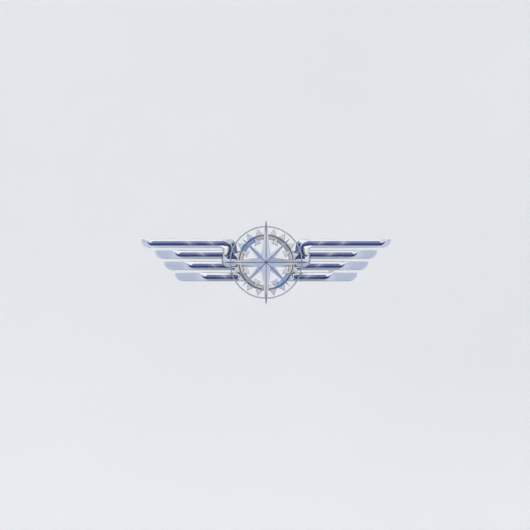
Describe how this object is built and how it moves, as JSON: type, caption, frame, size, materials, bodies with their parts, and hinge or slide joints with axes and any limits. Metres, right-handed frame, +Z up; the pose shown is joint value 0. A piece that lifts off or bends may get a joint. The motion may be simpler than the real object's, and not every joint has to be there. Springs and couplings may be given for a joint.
{
  "type": "pilot wings pin",
  "caption": "Pilot wings badge: a pierced compass rose between stepped feathers with enamel stripes, worn by a hinged brooch pin with a rotating safety catch.",
  "frame": {"origin": "on the brooch pin stem's axis, halfway along the badge, behind the third feathers", "axes": "+X along the wings towards the pin's point (the viewer's right, seen from the front), +Y out of the back towards the cloth, +Z up as worn"},
  "size_m": [0.0762, 0.0087, 0.0258],
  "materials": {
    "feather_silver": "polished, with satin lavender-tinted tips",
    "navy_enamel": "fired navy enamel with cream-grey clouding, glossy",
    "star_silver": "polished facets with dark engraved ridge lines",
    "ring_silver": "polished",
    "pointer_silver": "satin",
    "backing_nickel": "tumbled nickel plate",
    "finding_steel": "plated steel, polished by use",
    "rivet_nickel": "peened nickel"
  },
  "bodies": {
    "badge": {"backing_frame": "backing_nickel", "left_feather_1": "feather_silver", "left_feather_2": "feather_silver", "left_feather_3": "feather_silver", "left_feather_4": "feather_silver", "right_feather_1": "feather_silver", "right_feather_2": "feather_silver", "right_feather_3": "feather_silver", "right_feather_4": "feather_silver", "left_inlay_1": "navy_enamel", "left_inlay_2": "navy_enamel", "left_inlay_3": "navy_enamel", "left_inlay_4": "navy_enamel", "right_inlay_1": "navy_enamel", "right_inlay_2": "navy_enamel", "right_inlay_3": "navy_enamel", "right_inlay_4": "navy_enamel", "left_rivets": "rivet_nickel", "right_rivets": "rivet_nickel", "compass_spike_ring": "ring_silver", "compass_bezel": "ring_silver", "compass_outer_ring": "ring_silver", "inner_pointer_1": "pointer_silver", "inner_pointer_2": "pointer_silver", "inner_pointer_3": "pointer_silver", "inner_pointer_4": "pointer_silver", "inner_pointer_5": "pointer_silver", "inner_pointer_6": "pointer_silver", "inner_pointer_7": "pointer_silver", "inner_pointer_8": "pointer_silver", "diagonal_star": "star_silver", "cardinal_star": "star_silver", "star_rivet": "rivet_nickel", "hinge_bracket": "finding_steel", "hinge_rivet": "rivet_nickel", "catch_housing": "finding_steel"},
    "stem": {"pin_stem": "finding_steel"},
    "rotor": {"catch_rotor": "finding_steel"}
  },
  "joints": [
    {"name": "pin_swing", "type": "hinge", "parent": "badge", "child": "stem", "pos_m": [-0.02, 0, 0], "axis": [0, 0, 1], "range_deg": [0, 90]},
    {"name": "catch_turn", "type": "hinge", "parent": "badge", "child": "rotor", "pos_m": [0.02, 0, 0], "axis": [1, 0, 0], "range_deg": [0, 96]}
  ]
}
